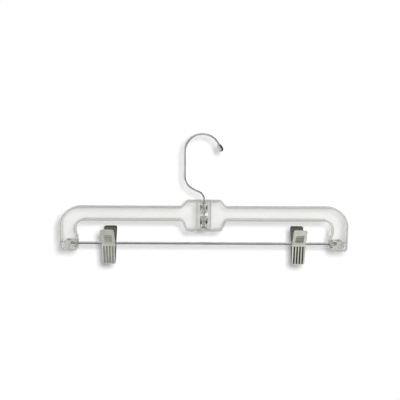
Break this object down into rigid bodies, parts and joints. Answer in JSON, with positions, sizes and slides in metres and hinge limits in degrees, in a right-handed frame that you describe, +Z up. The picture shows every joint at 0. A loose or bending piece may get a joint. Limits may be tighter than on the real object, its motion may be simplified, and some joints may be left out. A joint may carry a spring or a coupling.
{
  "type": "skirt hanger",
  "caption": "Clear moulded clothes hanger with a swivelling wire hook and sprung metal pinch clips that slide on a rod.",
  "frame": {"origin": "top of the hook's inner curve, where the hook rests on a rail, in the plane of the wire", "axes": "+X to the right along the rod, +Y away from the viewer through the hanger, +Z up along the shank"},
  "size_m": [0.3556, 0.0288, 0.163],
  "materials": {
    "clear_plastic": "clear, polished mould finish",
    "rod_steel": "drawn and plated",
    "hook_chrome": "plated wire",
    "tip_chrome": "plated",
    "collar_steel": "turned",
    "clip_nickel": "bright nickel plate on pressed steel",
    "pad_vinyl": "soft vinyl",
    "sleeve_steel": "plated tube",
    "spring_steel": "bare spring wire"
  },
  "bodies": {
    "hook_body": {"hook": "hook_chrome", "hook_tip": "tip_chrome", "hook_collar": "collar_steel"},
    "frame_body": {"frame": "clear_plastic", "rod": "rod_steel"},
    "left_sleeve_body": {"left_pivot_sleeve": "sleeve_steel"},
    "left_rear_body": {"left_rear_jaw": "clip_nickel", "left_rear_pad": "pad_vinyl", "left_spring": "spring_steel"},
    "left_front_body": {"left_front_jaw": "clip_nickel", "left_front_pad": "pad_vinyl"},
    "right_sleeve_body": {"right_pivot_sleeve": "sleeve_steel"},
    "right_rear_body": {"right_rear_jaw": "clip_nickel", "right_rear_pad": "pad_vinyl", "right_spring": "spring_steel"},
    "right_front_body": {"right_front_jaw": "clip_nickel", "right_front_pad": "pad_vinyl"}
  },
  "joints": [
    {"name": "frame_swivel", "type": "hinge", "parent": "hook_body", "child": "frame_body", "pos_m": [0.0021, 0, -0.07951], "axis": [0, 0, 1], "continuous": true},
    {"name": "left_clip_slide", "type": "slide", "parent": "frame_body", "child": "left_sleeve_body", "axis": [1, 0, 0], "range_m": [-0.029, 0.079]},
    {"name": "left_clip_swing", "type": "hinge", "parent": "left_sleeve_body", "child": "left_rear_body", "pos_m": [-0.1159, 0, -0.13391], "axis": [1, 0, 0], "continuous": true},
    {"name": "left_clip_open", "type": "hinge", "parent": "left_rear_body", "child": "left_front_body", "pos_m": [-0.1159, 0, -0.13391], "axis": [-1, 0, 0], "range_deg": [0, 42], "stiffness_Nm_per_rad": 0.27, "springref_deg": -57.3, "deforming": ["left_spring"]},
    {"name": "right_clip_slide", "type": "slide", "parent": "frame_body", "child": "right_sleeve_body", "axis": [1, 0, 0], "range_m": [-0.079, 0.029]},
    {"name": "right_clip_swing", "type": "hinge", "parent": "right_sleeve_body", "child": "right_rear_body", "pos_m": [0.1201, 0, -0.13391], "axis": [1, 0, 0], "continuous": true},
    {"name": "right_clip_open", "type": "hinge", "parent": "right_rear_body", "child": "right_front_body", "pos_m": [0.1201, 0, -0.13391], "axis": [-1, 0, 0], "range_deg": [0, 42], "stiffness_Nm_per_rad": 0.27, "springref_deg": -57.3, "deforming": ["right_spring"]}
  ]
}
